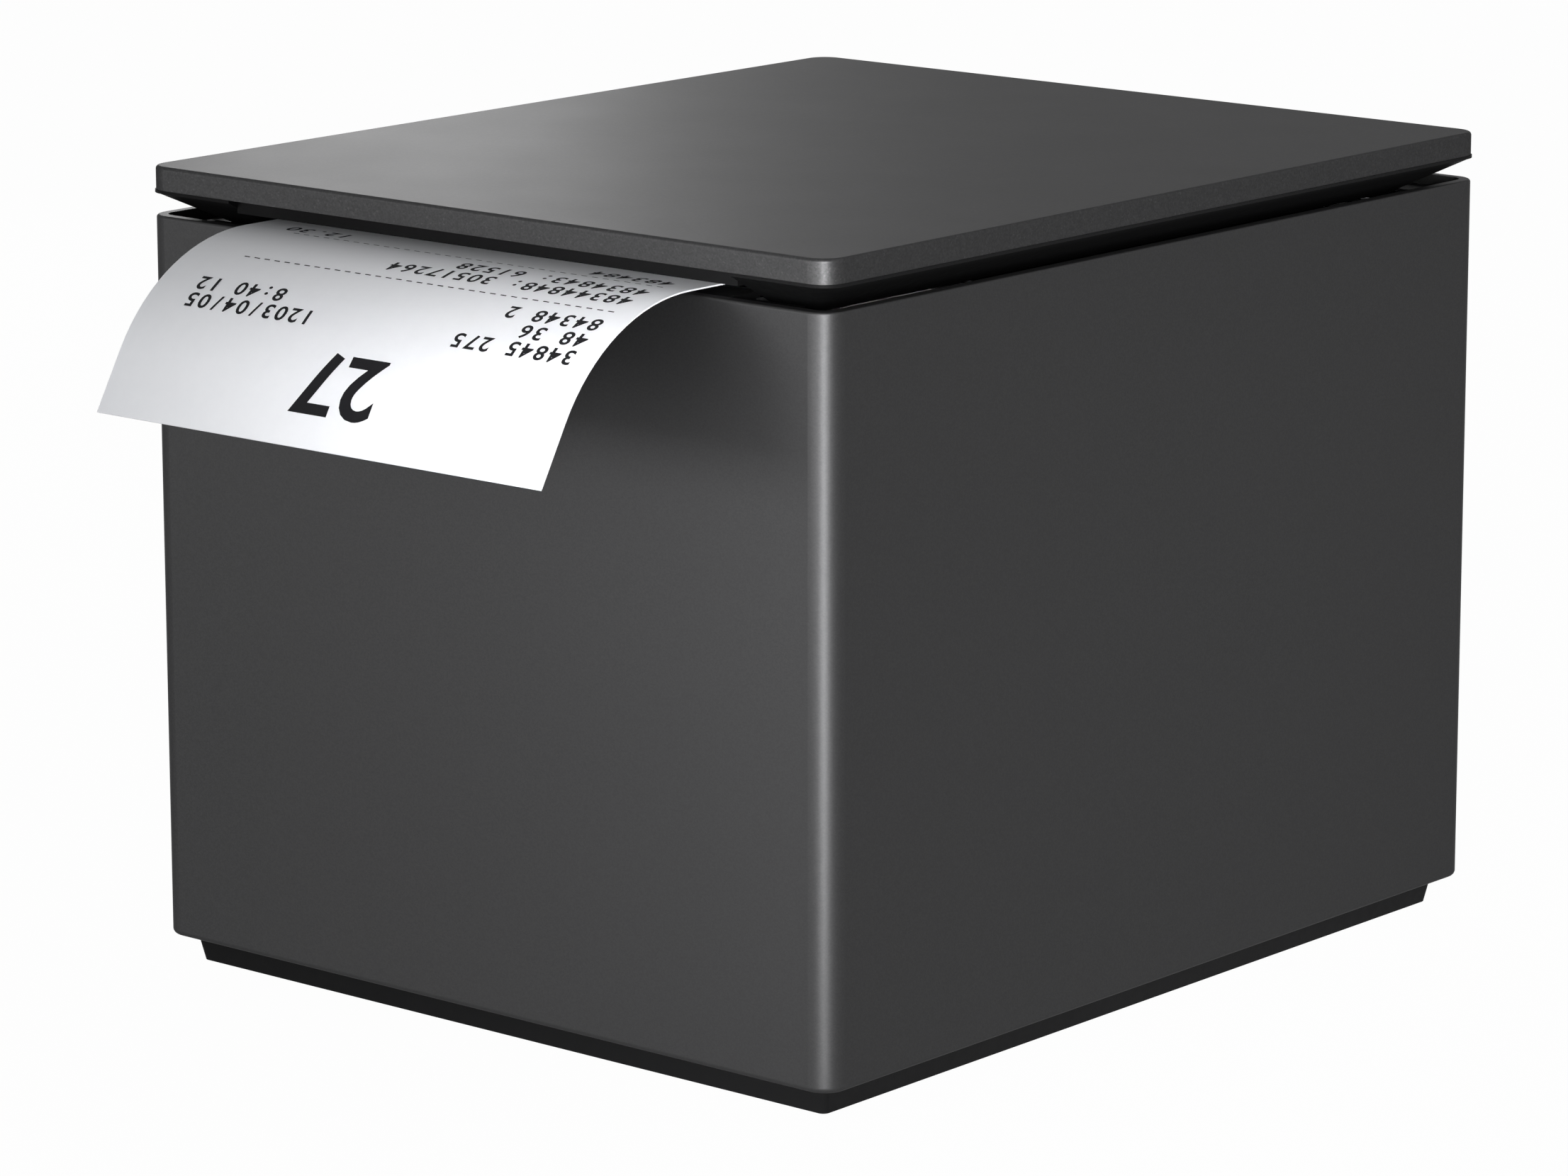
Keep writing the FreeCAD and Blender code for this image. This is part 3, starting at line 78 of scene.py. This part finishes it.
class Graph:  # a node tree and the ways to add to it
    def __init__(self, tree):
        self.tree = tree

    def node(self, kind, settings=None, **inputs):
        made = self.tree.nodes.new(kind)
        for name, value in (settings or {}).items():
            setattr(made, name, value)
        for name, value in inputs.items():
            self.feed(made.inputs[name.replace("_", " ")], value)
        return made

    def feed(self, socket, value):
        if isinstance(value, Wire):
            value = value.socket
        if isinstance(value, bpy.types.NodeSocket):
            self.tree.links.new(value, socket)
        else:
            socket.default_value = value

    def math(self, kind, *values):
        made = self.node("ShaderNodeMath", {"operation": kind})
        for socket, value in zip(made.inputs, values):
            self.feed(socket, value)
        return Wire(self, made.outputs[0])

    def step(self, wire, low, high, first=0.0, last=1.0):
        span = {"From_Min": low, "From_Max": high, "To_Min": first, "To_Max": last}
        return Wire(self, self.node("ShaderNodeMapRange", Value=wire, **span).outputs[0])

    def whiteRays(self, direct=1.0):  # 1 for rays that see white: direct, mirrored or through a clear part
        path = self.node("ShaderNodeLightPath")
        mirrored = self.math("MAXIMUM", path.outputs["Is Glossy Ray"], path.outputs["Is Transmission Ray"])
        return self.math("MAXIMUM", Wire(self, path.outputs["Is Camera Ray"]) * direct, mirrored)


class Look(Graph):  # one material
    def __init__(self, name):
        self.material = bpy.data.materials.new(name)
        self.material.use_nodes = True
        super().__init__(self.material.node_tree)
        self.shader = self.tree.nodes["Principled BSDF"]
        self.place = self.node("ShaderNodeTexCoord").outputs["Object"]

    def put(self, **values):
        for name, value in values.items():
            if name == "Base_Color" and isinstance(value, tuple):
                value = (*value[:3], 1)
            self.feed(self.shader.inputs[name.replace("_", " ")], value)

    def noise(self, scale, detail=2, roughness=0.5, stretch=None):
        place = self.place
        if stretch:
            wider = self.node("ShaderNodeVectorMath", {"operation": "MULTIPLY"})
            self.feed(wider.inputs[0], place)
            self.feed(wider.inputs[1], stretch)
            place = wider.outputs[0]
        made = self.node("ShaderNodeTexNoise", Vector=place, Scale=scale, Detail=detail, Roughness=roughness)
        return Wire(self, made.outputs[0])

    def cells(self, scale, output):
        return self.node("ShaderNodeTexVoronoi", Vector=self.place, Scale=scale).outputs[output]

    def axes(self):
        made = self.node("ShaderNodeSeparateXYZ", Vector=self.place)
        return [Wire(self, socket) for socket in made.outputs]

    def mix(self, factor, first, second):
        made = self.node("ShaderNodeMix", {"data_type": "RGBA"})
        for index, value in ((0, factor), (6, first), (7, second)):
            self.feed(made.inputs[index], (*value[:3], 1) if isinstance(value, tuple) else value)
        return Wire(self, made.outputs[2])

    def bump(self, height, strength, distance=0.00005):
        made = self.node("ShaderNodeBump", Strength=strength, Distance=distance, Height=height)
        self.put(Normal=made.outputs[0])


def tint(color, amount):
    return tuple(min(1, part * amount) for part in color)


sleevePaint = {
    "color": (0.041, 0.041, 0.0419), "metallic": 0.95, "roughness": 0.46, "edge": 0.5,
    "grain": 5200, "flake": 0.08, "spark": 0.0,
}
lidPaint = {
    "color": (0.041, 0.041, 0.0419), "metallic": 0.95, "roughness": 0.46, "edge": 0.43,
    "grain": 4300, "flake": 0.14, "spark": 0.06,
}
flakes = {
    "sparkColor": (0.2, 0.2, 0.206), "sparkFrom": 0.96,
    "cloud": 60, "sway": 0.02, "ripple": 3200, "bump": 0.02,
}


def flakePaint(name, paint):  # satin paint with fine metallic grains
    look = Look(name)
    color, flake, middle = paint["color"], paint["flake"], paint["roughness"]
    split = look.node("ShaderNodeSeparateColor", Color=look.cells(paint["grain"], "Color"))
    grain = Wire(look, split.outputs[0])
    base = look.mix(grain, tint(color, 1 - flake), tint(color, 1 + flake))
    spark = look.step(grain, flakes["sparkFrom"], 1.0) * paint["spark"]
    look.put(Base_Color=look.mix(spark, base, flakes["sparkColor"]))
    cloud = look.noise(flakes["cloud"], 4)
    look.put(Roughness=look.step(cloud, 0, 1, middle - flakes["sway"], middle + flakes["sway"]))
    look.put(Metallic=paint["metallic"], Specular_Tint=(*[paint["edge"]] * 3, 1))  # dull at a low angle
    look.bump(look.noise(flakes["ripple"], 3), flakes["bump"])
    return look.material


moulded = {"cloud": 60, "shade": 0.12, "sheen": 700, "sway": 0.08}


def plastic(name, color, roughness=0.5, grain=0.25, scale=2600, shine=0.5):
    look = Look(name)
    look.put(Specular_IOR_Level=shine)
    cloud = look.noise(moulded["cloud"], 4)
    look.put(Base_Color=look.mix(cloud, tint(color, 1 - moulded["shade"]), tint(color, 1 + moulded["shade"])))
    sheen = look.noise(moulded["sheen"], 4)
    look.put(Roughness=look.step(sheen, 0, 1, roughness - moulded["sway"], roughness + moulded["sway"]))
    look.bump(look.noise(scale, 4, 0.6), grain)
    return look.material


rolled = {
    "scale": 220, "dark": 0.85, "bright": 1.1, "bump": 0.05,
    "from": 0.2, "to": 0.8, "smoother": 0.08, "rougher": 0.1,
}


def metal(name, color, roughness=0.3, stretch=(1, 30, 30)):  # drawn or rolled metal, grain along one axis
    look = Look(name)
    grain = look.noise(rolled["scale"], 4, 0.6, stretch)
    color = look.mix(grain, tint(color, rolled["dark"]), tint(color, rolled["bright"]))
    look.put(Base_Color=color, Metallic=1.0)
    low, high = roughness - rolled["smoother"], roughness + rolled["rougher"]
    look.put(Roughness=look.step(grain, rolled["from"], rolled["to"], low, high))
    look.bump(grain, rolled["bump"])
    return look.material


paper = {
    "dark": (0.74, 0.75, 0.78), "pale": (0.785, 0.795, 0.82), "fibre": 420, "smooth": 0.42, "rough": 0.6,
    "bump": 0.05, "layers": 2600, "drift": 30, "wobble": 2, "edge": (0.62, 0.63, 0.65), "edgeShare": 0.25,
}


def paperLook(name, axis=None):  # smooth thermal paper; about an axis it also shows its wound edges
    look = Look(name)
    fibre = look.noise(paper["fibre"], 5, 0.65)
    color = look.mix(fibre, paper["dark"], paper["pale"])
    if axis:
        y, z = look.axes()[1:]
        radius = ((y - axis[1]) ** 2.0 + (z - axis[2]) ** 2.0) ** 0.5
        wind = look.math("FRACT", radius * paper["layers"] + look.noise(paper["drift"]) * paper["wobble"])
        color = look.mix(wind * paper["edgeShare"], color, paper["edge"])
    look.put(Base_Color=color, Roughness=look.step(fibre, 0, 1, paper["smooth"], paper["rough"]))
    look.bump(fibre, paper["bump"])
    return look.material


board = {
    "trace": 420, "width": 0.32, "mask": (0.012, 0.10, 0.045), "copper": (0.02, 0.17, 0.075),
    "stain": (0.01, 0.06, 0.03), "stainShare": 0.3, "cloud": 300, "roughness": 0.3, "coat": (0.3, 0.6),
}


def boardLook(name):  # solder mask over traces
    look = Look(name)
    trace = Wire(look, look.cells(board["trace"], "Distance")) < board["width"]
    color = look.mix(trace, board["mask"], board["copper"])
    stain = look.noise(board["cloud"], 3) * board["stainShare"]
    look.put(Base_Color=look.mix(stain, color, board["stain"]), Roughness=board["roughness"])
    look.put(Coat_Weight=look.step(trace, 0, 1, *board["coat"]))
    return look.material


print("materials")
looks = {
    "sleeve_paint": flakePaint("sleevePaint", sleevePaint),
    "lid_paint": flakePaint("lidPaint", lidPaint),
    "black_plastic": plastic("blackPlastic", (0.012, 0.012, 0.013)),
    "grey_plastic": plastic("greyPlastic", (0.16, 0.16, 0.17), roughness=0.45),
    "white_plastic": plastic("gearPlastic", (0.72, 0.71, 0.66), roughness=0.4, grain=0.1),
    "rubber": plastic("rubber", (0.016, 0.016, 0.017), roughness=0.75, grain=0.5, scale=1800),
    "steel": metal("sheetSteel", (0.55, 0.56, 0.57), roughness=0.32),
    "blade_steel": metal("groundSteel", (0.58, 0.59, 0.61), roughness=0.2, stretch=(1, 1, 40)),
    "aluminium": metal("sinkAluminium", (0.72, 0.73, 0.74)),
    "ceramic": plastic("headCeramic", (0.66, 0.64, 0.58), roughness=0.25, grain=0.05),
    "board": boardLook("boardMask"),
    "chip": plastic("chipBlack", (0.02, 0.02, 0.021), roughness=0.42, grain=0.2),
    "screw": metal("blackZinc", (0.16, 0.16, 0.17), roughness=0.35, stretch=(20, 20, 1)),
    "brass": metal("brass", (0.72, 0.53, 0.24), roughness=0.28),
    "paper": paperLook("thermalPaper"),
    "cardboard": plastic("cardCore", (0.42, 0.31, 0.2), roughness=0.85, grain=0.6, scale=900),
    "clear": plastic("lightPipe", (0.62, 0.7, 0.62), roughness=0.18, grain=0.02),
}
rollAxis = next(joint["pos_m"] for joint in frame["joints"] if joint["name"] == "roll_spin")
rollLook = paperLook("woundPaper", rollAxis)
# near-black and almost without shine, darker than the black plastic: the pieces' own black plus painted shade
blackAndPaintedShade = {"color": (0.004, 0.004, 0.0042), "roughness": 0.6, "grain": 0.3, "shine": 0.05}
blackAndPaintedShadeLook = plastic("blackPlasticAndPaintedShade", **blackAndPaintedShade)
sharpFrom = math.radians(28)

for part in frame["record"]["subparts"]:
    obj = nodes[part["node"]]
    obj.data.materials.clear()
    obj.data.materials.append(looks[part["material_slot"]])
    obj.data.shade_smooth()
    obj.data.set_sharp_from_angle(angle=sharpFrom)
nodes["paper_roll"].data.materials[0] = rollLook
# painted shade: the recessed base and the gap and slot between lid and body get the near-black look
for name in ("base_tray", "lid_tray", "exit_lip", "top_deck"):
    nodes[name].data.materials[0] = blackAndPaintedShadeLook

receipt = {
    "sheet": 0.0002, "straight": 0.002, "radius": 0.0273, "angle": math.radians(60), "tail": 0.009,
    "lift": 0.00003,
}
receiptTop = nodeBox("receipt_paper")[1]
receipt["halfWidth"] = receiptTop[0]
receipt["level"] = receiptTop[2] - receipt["sheet"] / 2
receipt["exitY"] = nodeBox("outer_sleeve")[0][1] - receipt["straight"]


def stripPoint(along):  # point and outward normal on the strip's printed side, from the leading edge back
    flat = along - receipt["tail"] - receipt["radius"] * receipt["angle"]
    if flat > 0:
        return (receipt["exitY"] + flat, receipt["level"]), (0, 1)
    turn = min(receipt["angle"], -flat / receipt["radius"])
    normal = (-math.sin(turn), math.cos(turn))
    y = receipt["exitY"] + receipt["radius"] * normal[0]
    z = receipt["level"] - receipt["radius"] * (1 - normal[1])
    rest = max(0, receipt["tail"] - along)
    return (y - rest * math.cos(turn), z - rest * math.sin(turn)), normal


receiptPrint = {
    "pitch": 0.00237, "height": 0.0023, "curveSteps": 4,
    "fontSize": 1.42, "bolder": 0.025, "wider": 1.18,  # shares of the letter's height and width
    "rows": (  # text, start across the strip, baseline from the leading edge
        ("34845 275", 0.0033, 0.0192), ("48 36", 0.0033, 0.0222), ("84348 2", 0.0033, 0.0253),
        ("1203/04/05", 0.0490, 0.0190), ("8:40 12", 0.0563, 0.0220),
        ("48344848: 30517264", 0.0033, 0.0315), ("4834843: 61528", 0.0033, 0.0347),
        ("483484", 0.0040, 0.0403), ("12.30", 0.0612, 0.0403),
    ),
    "mark": ("27", 0.0392, 0.0130, 0.0085),  # text, middle across, baseline, height
    "dashRows": (0.0274, 0.0369), "dashSpan": (0.0034, 0.0717),
    "dashPitch": 0.00185, "dashSize": (0.0010, 0.0002),
    "facet": 0.0008, "facets": 60,  # short facets, so that the print follows the bend
}


def glyph(text, height):  # flat lettering as points and faces, from its lower left
    curve = bpy.data.curves.new("glyph", "FONT")
    curve.body = text
    curve.size = height * receiptPrint["fontSize"]
    curve.resolution_u = receiptPrint["curveSteps"]
    curve.offset = height * receiptPrint["bolder"]
    holder = bpy.data.objects.new("glyph", curve)
    bpy.context.scene.collection.objects.link(holder)
    bpy.context.view_layer.update()
    flat = bpy.data.meshes.new_from_object(holder.evaluated_get(bpy.context.evaluated_depsgraph_get()))
    points = [(v.co.x * receiptPrint["wider"], v.co.y) for v in flat.vertices]
    faces = [tuple(p.vertices) for p in flat.polygons]
    bpy.data.objects.remove(holder)
    bpy.data.curves.remove(curve)
    bpy.data.meshes.remove(flat)
    return points, faces


def stamp(sheet, shape, middle, baseline):  # adds a glyph to the flat sheet, centred across
    points, faces = shape
    center = (min(x for x, y in points) + max(x for x, y in points)) / 2
    corners = [sheet.verts.new((middle + x - center, baseline - y, 0)) for x, y in points]
    for face in faces:
        sheet.faces.new([corners[i] for i in face])


def stampRows(sheet):
    shapes = {}
    for text, start, baseline in receiptPrint["rows"]:
        for place, letter in enumerate(text):
            if letter == " ":
                continue
            if letter not in shapes:
                shapes[letter] = glyph(letter, receiptPrint["height"])
            stamp(sheet, shapes[letter], start + (place + 0.5) * receiptPrint["pitch"], baseline)
    text, middle, baseline, height = receiptPrint["mark"]
    stamp(sheet, glyph(text, height), middle, baseline)


def stampDashes(sheet):
    wide, thick = receiptPrint["dashSize"]
    dash = [(0, 0), (wide, 0), (wide, thick), (0, thick)], [(0, 1, 2, 3)]
    first, last = receiptPrint["dashSpan"]
    for baseline in receiptPrint["dashRows"]:
        for place in range(int((last - first) / receiptPrint["dashPitch"])):
            stamp(sheet, dash, first + (place + 0.5) * receiptPrint["dashPitch"], baseline)


def bendSheet(sheet):
    for cut in range(1, receiptPrint["facets"]):
        parts = sheet.verts[:] + sheet.edges[:] + sheet.faces[:]
        place = (0, cut * receiptPrint["facet"], 0)
        bmesh.ops.bisect_plane(sheet, geom=parts, plane_co=place, plane_no=(0, 1, 0))
    raised = receipt["sheet"] / 2 + receipt["lift"]
    for v in sheet.verts:
        (y, z), normal = stripPoint(v.co.y)
        v.co = (receipt["halfWidth"] - v.co.x, y + normal[0] * raised, z + normal[1] * raised)


ink = {"color": (0.008, 0.008, 0.009), "paler": 1.6, "grain": 900, "roughness": 0.6, "shine": 0.05}


def printReceipt():
    sheet = bmesh.new()
    stampRows(sheet)
    stampDashes(sheet)
    bendSheet(sheet)
    mesh = bpy.data.meshes.new("receiptPrint")
    sheet.to_mesh(mesh)
    sheet.free()
    obj = bpy.data.objects.new("receiptPrint", mesh)
    bpy.context.scene.collection.objects.link(obj)
    look = Look("printInk")
    grain = look.noise(ink["grain"], 3)
    look.put(Base_Color=look.mix(grain, ink["color"], tint(ink["color"], ink["paler"])))
    look.put(Roughness=ink["roughness"], Specular_IOR_Level=ink["shine"])
    mesh.materials.append(look.material)
    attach(obj, "body")


print("receipt print")
printReceipt()

print("stage")
floorLook = {"seen": (1, 1, 1), "bounce": (0.5, 0.5, 0.5), "roughness": 0.8, "size": 6, "white": 0.98}
bpy.ops.mesh.primitive_plane_add(size=floorLook["size"])
floor = bpy.context.object
floor.name = "floor"
look = Look("floorWhite")
look.put(Base_Color=floorLook["bounce"], Roughness=floorLook["roughness"])
seen = look.node("ShaderNodeEmission", Color=(*floorLook["seen"], 1), Strength=1.0)
blend = look.node("ShaderNodeMixShader", Fac=look.whiteRays(floorLook["white"]))  # the rest keeps the shadow
look.feed(blend.inputs[1], look.shader.outputs[0])
look.feed(blend.inputs[2], seen.outputs[0])
look.feed(look.tree.nodes["Material Output"].inputs[0], blend.outputs[0])
floor.data.materials.append(look.material)

roomLook = {"seen": 1.0, "bounce": 0.12}
world = bpy.data.worlds.new("studio")
bpy.context.scene.world = world
world.use_nodes = True
room = Graph(world.node_tree)
shade = room.tree.nodes["Background"]
room.feed(shade.inputs["Color"], (1, 1, 1, 1))
room.feed(shade.inputs["Strength"], room.step(room.whiteRays(), 0, 1, roomLook["bounce"], roomLook["seen"]))

lights = {
    "front": {"place": (-0.423, -0.906, 0.13), "aim": (0, 0, 0.06), "size": (0.35, 0.22), "power": 2.15},
    "cornerNear": {  # narrow, so that the strip stays out of it
        "place": (0.281, -0.312, 0.10), "aim": (0.095, -0.035, 0.06), "size": (0.14, 0.16),
        "power": 0.33, "spread": math.radians(32),
    },
    "frontClose": {"place": (0.05, -0.24, 0.10), "aim": (0.03, 0, 0.07), "size": (0.10, 0.12), "power": 0.16},
    "lidLeft": {  # this and the next two are a row that the lid mirrors
        "place": (-0.516, 0.350, 0.29), "aim": (-0.078, -0.066, 0.1), "size": (0.11, 0.3), "power": 0.05,
    },
    "lidMiddle": {
        "place": (-0.470, 0.389, 0.29), "aim": (-0.051, -0.042, 0.1), "size": (0.11, 0.3), "power": 0.72,
    },
    "lidRight": {
        "place": (-0.424, 0.427, 0.29), "aim": (-0.023, -0.019, 0.1), "size": (0.11, 0.3), "power": 0.06,
    },
}


def turnTo(place, target):
    return (Vector(target) - Vector(place)).to_track_quat("-Z", "Y").to_euler()


for name, lamp in lights.items():
    data = bpy.data.lights.new(name, "AREA")
    data.shape = "RECTANGLE"
    data.size, data.size_y = lamp["size"]
    data.energy = lamp["power"]
    data.spread = lamp.get("spread", math.pi)
    obj = bpy.data.objects.new(name, data)
    bpy.context.scene.collection.objects.link(obj)
    obj.location = lamp["place"]
    obj.rotation_euler = turnTo(lamp["place"], lamp["aim"])
    obj.visible_camera = False

camera = {
    "place": (0.56158, -0.66876, 0.24609), "target": (0, 0, 0.05084),
    "lens": 145.2, "sensor": 36, "shiftX": -0.026, "farthest": 20,
}
lens = bpy.data.cameras.new("photoAngle")
lens.lens = camera["lens"]
lens.sensor_width = camera["sensor"]
lens.shift_x = camera["shiftX"]
lens.clip_end = camera["farthest"]
eye = bpy.data.objects.new("photoAngle", lens)
bpy.context.scene.collection.objects.link(eye)
eye.location = camera["place"]
eye.rotation_euler = turnTo(camera["place"], camera["target"])
bpy.context.scene.camera = eye
bpy.context.scene.view_settings.view_transform = "Standard"

print("done")
